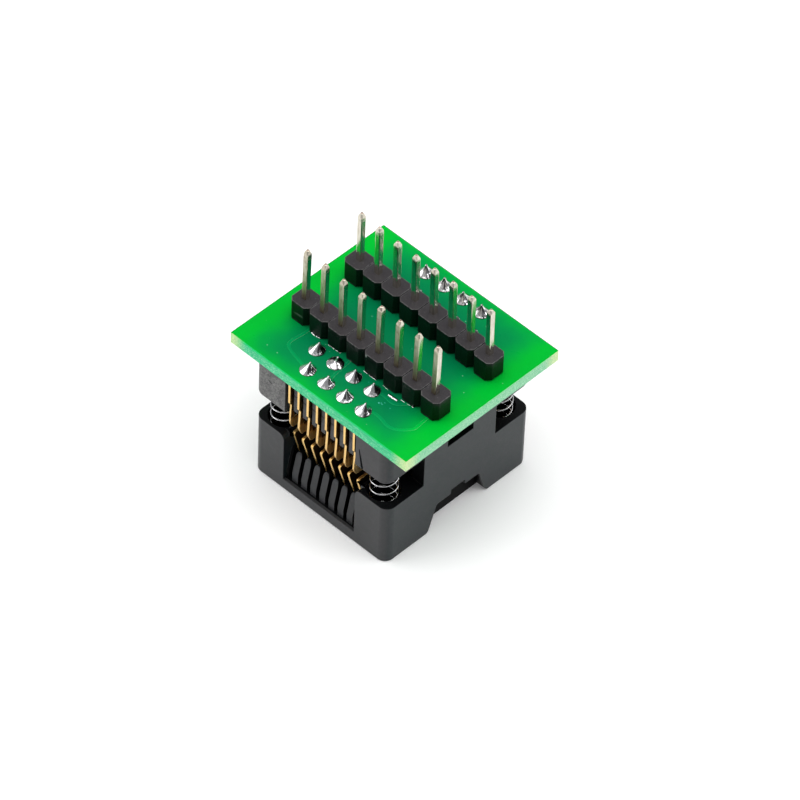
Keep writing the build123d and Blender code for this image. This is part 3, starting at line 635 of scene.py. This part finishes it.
for n in range(16):
    side, k = (-1, n) if n < 8 else (1, n - 8)
    rnd = random.Random(100 + n)
    top = PIN_TOP + PIN_RISE[n]
    lx, ly = PIN_LEAN[n]
    ox, oy = rnd.uniform(-0.03, 0.03), rnd.uniform(-0.03, 0.03)
    flat = rnd.uniform(0.105, 0.15)
    long_tip = rnd.uniform(0.40, 0.52)

    def centre(z):
        t = max(0.0, (z - 19.0) / (top - 19.0))
        return pin_x(k) + lx * t, side * ROW_HALF + ly * t

    rings = []
    for z, half, r in (
        (PIN_BOT, 0.26, 0.08), (PIN_BOT + 0.06, PIN_HALF, PIN_R), (17.5, PIN_HALF, PIN_R), (19.0, PIN_HALF, PIN_R),
        (20.5, PIN_HALF, PIN_R), (22.0, PIN_HALF, PIN_R), (23.5, PIN_HALF, PIN_R), (top - 0.9, PIN_HALF, PIN_R),
        (top - long_tip - 0.08, PIN_HALF, PIN_R), (top - long_tip, PIN_HALF * 0.99, PIN_R),
        (top - long_tip + 0.07, PIN_HALF * 0.94, PIN_R * 1.05),
    ):
        cx, cy = centre(z)
        rings.append(pin_ring(half, r, cx, cy, z))
    for t in (0.35, 0.6, 0.8, 0.93):
        z = top - long_tip * (1.0 - t)
        cx, cy = centre(z)
        half = PIN_HALF + (flat - PIN_HALF) * (t ** 1.15)
        rings.append(pin_ring(half, min(PIN_R * 1.05, half * 0.55), cx + ox * t, cy + oy * t, z))
    cx, cy = centre(top)
    rings.append(pin_ring(flat * 0.93, flat * 0.5, cx + ox, cy + oy, top - 0.012))
    rings.append(pin_ring(flat * 0.72, flat * 0.4, cx + ox, cy + oy, top - 0.002 * (n % 3)))
    bm = bmesh.new()
    skin(bm, rings)
    o = new_piece("header_pin_%02d_look" % (n + 1), bm, M_PIN, "base", ("header_pin_%02d" % (n + 1),))
    wn = o.modifiers.new("even_normals", "WEIGHTED_NORMAL")
    wn.weight = 60


# ------------------------------------------------------------- header strips
def block(bm, outline, z0, z1, width, seed):
    """A prism over an outline, its upright and upper edges rounded."""
    part = bmesh.new()
    low = [part.verts.new((x, y, z0)) for x, y in outline]
    high = [part.verts.new((x, y, z1)) for x, y in outline]
    n = len(outline)
    for i in range(n):
        j = (i + 1) % n
        part.faces.new((low[i], low[j], high[j], high[i]))
    part.faces.new(high)
    part.faces.new(low[::-1])
    edges = [e for e in part.edges if max(v.co.z for v in e.verts) > z0 + 1e-6]
    if width > 0.0:
        bmesh.ops.bevel(part, geom=edges, offset=width, offset_type="OFFSET", segments=3, profile=0.5, affect="EDGES")
    rnd = random.Random(seed)
    lift, tx, ty = rnd.uniform(-0.012, 0.012), rnd.uniform(-0.006, 0.006), rnd.uniform(-0.006, 0.006)
    cx = sum(x for x, y in outline) / n
    cy = sum(y for x, y in outline) / n
    for v in part.verts:
        if v.co.z > z0 + 1e-6:
            v.co.z += min(0.0, lift - 0.012 + tx * (v.co.x - cx) + ty * (v.co.y - cy)) * (v.co.z - z0) / (z1 - z0)
    me = bpy.data.meshes.new("block")
    part.to_mesh(me)
    part.free()
    bm.from_mesh(me)
    bpy.data.meshes.remove(me)


for side, name in ((-1, "header_strip_near"), (1, "header_strip_far")):
    bm = bmesh.new()
    hy, c = 1.25, 0.45
    dx, dy = STRIP_DX[side], STRIP_DY[side]
    yc = side * ROW_HALF + dy
    for k in range(N):
        hx = PITCH / 2 - 0.022
        xc = pin_x(k) + dx
        outline = [
            (xc - hx, yc - hy + c), (xc - hx + c, yc - hy), (xc + hx - c, yc - hy), (xc + hx, yc - hy + c),
            (xc + hx, yc + hy - c), (xc + hx - c, yc + hy), (xc - hx + c, yc + hy), (xc - hx, yc + hy - c),
        ]
        block(bm, outline, 17.7, STRIP_TOP, 0.055, 40 + k + 10 * side)
        fx = 0.77
        block(bm, [(xc - fx, yc - hy + 0.03), (xc + fx, yc - hy + 0.03), (xc + fx, yc + hy - 0.03), (xc - fx, yc + hy - 0.03)], 17.5, 17.75, 0.0, 3)
    x0, x1 = pin_x(0) + dx - 0.9, pin_x(N - 1) + dx + 0.9
    block(bm, [(x0, yc - 0.79), (x1, yc - 0.79), (x1, yc + 0.79), (x0, yc + 0.79)], 17.72, STRIP_TOP - 0.06, 0.0, 4)
    o = new_piece(name + "_look", bm, M_STRIP, "base", (name,))
    wn = o.modifiers.new("even_normals", "WEIGHTED_NORMAL")
    wn.weight = 90


# -------------------------------------------------------------- solder joints
CONE = [
    (0.0, 0.80), (0.035, 0.865), (0.09, 0.86), (0.15, 0.79), (0.24, 0.69), (0.36, 0.575), (0.48, 0.465), (0.60, 0.365),
    (0.72, 0.28), (0.83, 0.21), (0.92, 0.165), (1.0, 0.14), (1.06, 0.13), (1.10, 0.115), (1.125, 0.06),
]
BLOB = [
    (0.0, 0.84), (0.03, 0.90), (0.08, 0.90), (0.15, 0.83), (0.22, 0.70), (0.28, 0.52), (0.33, 0.34), (0.40, 0.20),
    (0.55, 0.135), (0.75, 0.12), (0.9, 0.125), (0.98, 0.12), (1.01, 0.06),
]
LOW = [
    (0.0, 0.54), (0.03, 0.58), (0.07, 0.57), (0.12, 0.51), (0.18, 0.43), (0.24, 0.35), (0.30, 0.27), (0.36, 0.20),
    (0.42, 0.15), (0.50, 0.13), (0.58, 0.11), (0.60, 0.07),
]


def joint(bm, x, y, seed, profile, lean):
    rnd = random.Random(seed)
    phase = [rnd.uniform(0, 2 * math.pi) for _ in range(4)]
    fold = math.radians(rnd.uniform(-40, 10))
    deep = rnd.uniform(0.10, 0.2)
    rings = []
    around = 56
    for h, r in profile:
        t = h / profile[-1][0]
        cx, cy = x + lean[0] * t ** 1.4, y + lean[1] * t ** 1.4
        ring = []
        for j in range(around):
            q = 2 * math.pi * j / around
            w = math.sin(math.pi * min(1.0, t * 1.15)) ** 0.8
            lobes = 0.025 * math.sin(2 * q + phase[0]) + 0.02 * math.sin(3 * q + phase[1])
            # creases where the solder drew in, on the side away from the iron
            d = (q - fold + math.pi) % (2 * math.pi) - math.pi
            crease = math.exp(-((d / 0.75) ** 2)) * (0.5 + 0.5 * math.cos(d * 7.0 + phase[2]))
            rr = r * (1.0 + lobes * (0.4 + w) - deep * crease * w + 0.06 * math.exp(-((d / 0.9) ** 2)) * (1.0 - t))
            flat = 1.0 - 0.25 * max(0.0, (t - 0.75) / 0.25)
            px, py = rr * math.cos(q) * flat, rr * math.sin(q)
            ring.append(Vector((cx + px, cy + py, BOARD_TOP - 0.005 + h + 0.012 * math.sin(3 * q + phase[3]) * w)))
        rings.append(ring)
    # finer rings between the given ones, for a smooth flank
    fine = []
    for a, b in zip(rings, rings[1:]):
        fine.append(a)
        fine.append([p.lerp(q, 0.5) for p, q in zip(a, b)])
    fine.append(rings[-1])
    skin(bm, fine)


for side, name in ((-1, "tail_solder_near"), (1, "tail_solder_far")):
    bm = bmesh.new()
    for k in range(N):
        seed = 500 + 20 * (side + 1) + k
        rnd = random.Random(seed + 7)
        lean = (0.17 + rnd.uniform(-0.05, 0.06), 0.15 + rnd.uniform(-0.05, 0.05))
        if side > 0:
            lean = (rnd.uniform(-0.06, 0.1), 0.08 + rnd.uniform(-0.05, 0.05))
        profile = BLOB if (side < 0 and k == 2) else LOW if (side > 0 and k % 2 == 1) else CONE
        joint(bm, contact_x(k), tail_y(side, k), seed, profile, lean)
    new_piece(name + "_look", bm, M_SOLDER, "base", (name,))

bm = bmesh.new()
for side in (-1, 1):
    for k in range(N):
        rnd = random.Random(900 + 10 * side + k)
        rings = []
        for h, r in ((0.0, 0.80), (0.02, 0.82), (0.06, 0.80), (0.12, 0.73), (0.19, 0.62), (0.24, 0.5), (0.27, 0.38), (0.285, 0.30), (0.295, 0.15)):
            ph = rnd.uniform(0, 0.3)
            rings.append([
                Vector((pin_x(k) + r * (1 + 0.02 * math.sin(2 * q + ph)) * math.cos(q), side * ROW_HALF + r * math.sin(q), BOARD_BOT + 0.003 - h))
                for q in (2 * math.pi * j / 36 for j in range(36))
            ])
        skin(bm, rings)
new_piece("header_solder_look", bm, M_SOLDER, "base", ("header_solder",))


# ------------------------------------------------ copper tracks under the mask
def rounded(pts, times=2):
    for _ in range(times):
        out = [pts[0]]
        for a, b in zip(pts, pts[1:]):
            out.append((a[0] * 0.75 + b[0] * 0.25, a[1] * 0.75 + b[1] * 0.25))
            out.append((a[0] * 0.25 + b[0] * 0.75, a[1] * 0.25 + b[1] * 0.75))
        out.append(pts[-1])
        pts = out
    return pts


def ribbon(bm, pts, width, height, shape, wobble=0.0, seed=1, z=BOARD_TOP):
    """A low band along a path; shape lists (share of half width, share of height)."""
    rnd = random.Random(seed)
    rings = []
    for i, (px, py) in enumerate(pts):
        a, b = pts[max(0, i - 1)], pts[min(len(pts) - 1, i + 1)]
        d = Vector((b[0] - a[0], b[1] - a[1], 0.0)).normalized()
        s_ = Vector((-d.y, d.x, 0.0))
        end = min(i, len(pts) - 1 - i)
        w = width / 2 * (0.35 if end == 0 else 0.8 if end == 1 else 1.0) * (1.0 + rnd.uniform(-wobble, wobble))
        h = height * (0.4 if end == 0 else 1.0) * (1.0 + rnd.uniform(-wobble, wobble))
        rings.append([Vector((px, py, z)) + s_ * (w * u) + Vector((0, 0, h * v)) for u, v in shape])
    skin(bm, rings)


FLAT = [(1.0, -0.15), (0.98, 0.35), (0.86, 0.85), (0.7, 1.0), (-0.7, 1.0), (-0.86, 0.85), (-0.98, 0.35), (-1.0, -0.15)]
ROUND = [(1.0, -0.15), (0.92, 0.4), (0.7, 0.72), (0.36, 0.94), (0.0, 1.0), (-0.36, 0.94), (-0.7, 0.72), (-0.92, 0.4), (-1.0, -0.15)]
TRACKS = [
    [(-3.175, -8.89), (-5.2, -8.47), (-6.8, -8.0), (-7.17, -7.37), (-6.97, -6.18), (-6.93, -4.97), (-6.9, -4.4)],
    [(-0.635, -8.89), (-1.01, -7.02), (-1.17, -5.05), (-1.2, -4.4)],
    [(4.445, -8.89), (5.56, -8.11), (8.02, -8.81), (9.63, -7.14), (9.51, -6.31), (9.4, -4.4)],
    [(3.175, -6.35), (3.43, -6.09), (4.51, -5.93), (5.9, -6.2), (6.95, -4.95), (7.0, -4.4)],
]
bm = bmesh.new()
for path in TRACKS:
    ribbon(bm, rounded(path), 0.32, 0.03, FLAT)
new_piece("board_tracks", bm, M_TRACE, "base")

# ------------------------- solder that crept out beneath the near header strip
bm = bmesh.new()
CREEP = [
    ([(-6.5, -5.04), (-6.2, -5.10), (-5.95, -5.12)], 0.15, 0.09),
    ([(-5.85, -5.10), (-5.6, -5.08), (-5.3, -4.98)], 0.12, 0.08),
    ([(-4.24, -5.03), (-3.9, -5.04), (-3.3, -5.03)], 0.06, 0.05),
    ([(-3.2, -5.03), (-2.9, -5.02), (-2.54, -4.99)], 0.07, 0.06),
    ([(-1.18, -5.0), (-1.0, -5.0)], 0.10, 0.07),
    ([(0.64, -5.0), (1.0, -5.06), (1.3, -5.08)], 0.07, 0.05),
    ([(1.5, -5.09), (1.9, -5.09), (2.44, -5.07)], 0.08, 0.06),
    ([(3.39, -5.08), (3.8, -5.12), (4.2, -5.16)], 0.05, 0.04),
    ([(5.97, -5.19), (6.2, -5.19), (6.45, -5.18)], 0.07, 0.05),
    ([(6.75, -5.16), (7.0, -5.14), (7.14, -5.11)], 0.05, 0.04),
    ([(7.3, -5.09), (7.54, -5.06)], 0.09, 0.06),
    ([(4.66, -5.56), (5.24, -5.55), (5.80, -5.50)], 0.34, 0.10),
]
for i, (path, width, height) in enumerate(CREEP):
    ribbon(bm, rounded(path, 3), width, height, ROUND, 0.16, 60 + i)
new_piece("solder_creep", bm, M_CREEP, "base")

# ---------------------------------------------------- dried flux on the board
bm = bmesh.new()
for i, (x, y, r) in enumerate((
    (4.74, -7.02, 0.085), (4.92, -6.86, 0.06), (5.10, -6.93, 0.07), (5.14, -6.60, 0.05),
    (6.0, -6.75, 0.05), (2.1, -5.75, 0.05), (-3.9, 0.9, 0.045), (-0.4, -1.6, 0.05), (0.6, -1.1, 0.045),
    (1.9, 0.5, 0.045), (3.4, -0.9, 0.05), (4.6, 0.9, 0.045), (-2.2, -0.2, 0.04), (6.3, -1.4, 0.045),
)):
    rings = [
        [Vector((x + r * w * math.cos(q) * (1.0 + 0.3 * (i % 3 == 0)), y + r * w * math.sin(q), BOARD_TOP - 0.004 + h * r)) for q in (2 * math.pi * j / 16 for j in range(16))]
        for h, w in ((0.0, 1.0), (0.16, 0.97), (0.32, 0.82), (0.46, 0.58), (0.54, 0.25))
    ]
    skin(bm, rings)
new_piece("flux_drops", bm, M_FLUX, "base")

# --------------------------------------------------- cover and base mouldings
refined("cover", 0.05, M_COVER, 2, 30.0)
refined("socket_base", 0.05, M_BASE, 2, 30.0)

# ------------------------------------------------------------- camera, lights
AZ, EL, ROLL = (math.radians(v) for v in (42.698, 46.768, 2.407))
back = Vector((math.sin(AZ) * math.cos(EL), -math.cos(AZ) * math.cos(EL), math.sin(EL)))
right = Vector((math.cos(AZ), math.sin(AZ), 0.0))
up = back.cross(right)
cam_right = math.cos(ROLL) * right + math.sin(ROLL) * up
cam_up = -math.sin(ROLL) * right + math.cos(ROLL) * up
cam_data = bpy.data.cameras.new("camera")
cam_data.sensor_width = 36.0
cam_data.lens = 6303.14 / 800.0 * 36.0
cam_data.clip_start, cam_data.clip_end = 0.01, 20.0
cam = bpy.data.objects.new("camera", cam_data)
rot = Matrix((cam_right, cam_up, back)).transposed().to_4x4()
cam.matrix_world = Matrix.Translation((0.29081260, -0.31404518, 0.46440799)) @ rot
scene.collection.objects.link(cam)
scene.camera = cam

scene.view_settings.view_transform = "Standard"
scene.view_settings.look = "None"
scene.view_settings.exposure = 0.0
scene.view_settings.gamma = 1.0

world = bpy.data.worlds.new("studio")
world.use_nodes = True
world.node_tree.nodes["Background"].inputs[0].default_value = (0.97, 0.985, 1.0, 1.0)
world.node_tree.nodes["Background"].inputs[1].default_value = 0.36
scene.world = world


def softbox(name, place, aim, size, power, colour=(1.0, 1.0, 1.0)):
    data = bpy.data.lights.new(name, "AREA")
    data.shape = "RECTANGLE"
    data.size, data.size_y = size
    data.energy = power
    data.color = colour
    o = bpy.data.objects.new(name, data)
    o.location = place
    o.rotation_euler = (Vector(aim) - Vector(place)).to_track_quat("-Z", "Y").to_euler()
    scene.collection.objects.link(o)
    return o


top_box = softbox("top_softbox", (0.0, 0.0, 0.72), (0, 0, 0), (0.80, 0.80), 5.0, (1.0, 0.995, 0.985))
top_box.rotation_euler = (0.0, 0.0, AZ)
softbox("left_softbox", (-0.46, -0.40, 0.30), (0, 0, 0.01), (0.50, 0.42), 1.7, (1.0, 1.0, 1.0))
softbox("right_softbox", (0.46, 0.36, 0.34), (0, 0, 0.01), (0.46, 0.42), 1.5, (1.0, 1.0, 1.0))

floor_bm = bmesh.new()
bmesh.ops.create_grid(floor_bm, x_segments=8, y_segments=8, size=3.0)
floor_me = bpy.data.meshes.new("floor")
floor_bm.to_mesh(floor_me)
floor_bm.free()
floor = bpy.data.objects.new("floor", floor_me)
floor.location.z = -0.00003
scene.collection.objects.link(floor)
mf = Mat("floor_white", Roughness=0.85)
mf.set("Base Color", (0.93, 0.93, 0.935))
mf.b.inputs["Specular IOR Level"].default_value = 0.2
mf.b.inputs["Emission Color"].default_value = (1.0, 1.0, 1.0, 1.0)
mf.b.inputs["Emission Strength"].default_value = 0.085
floor_me.materials.append(mf.m)
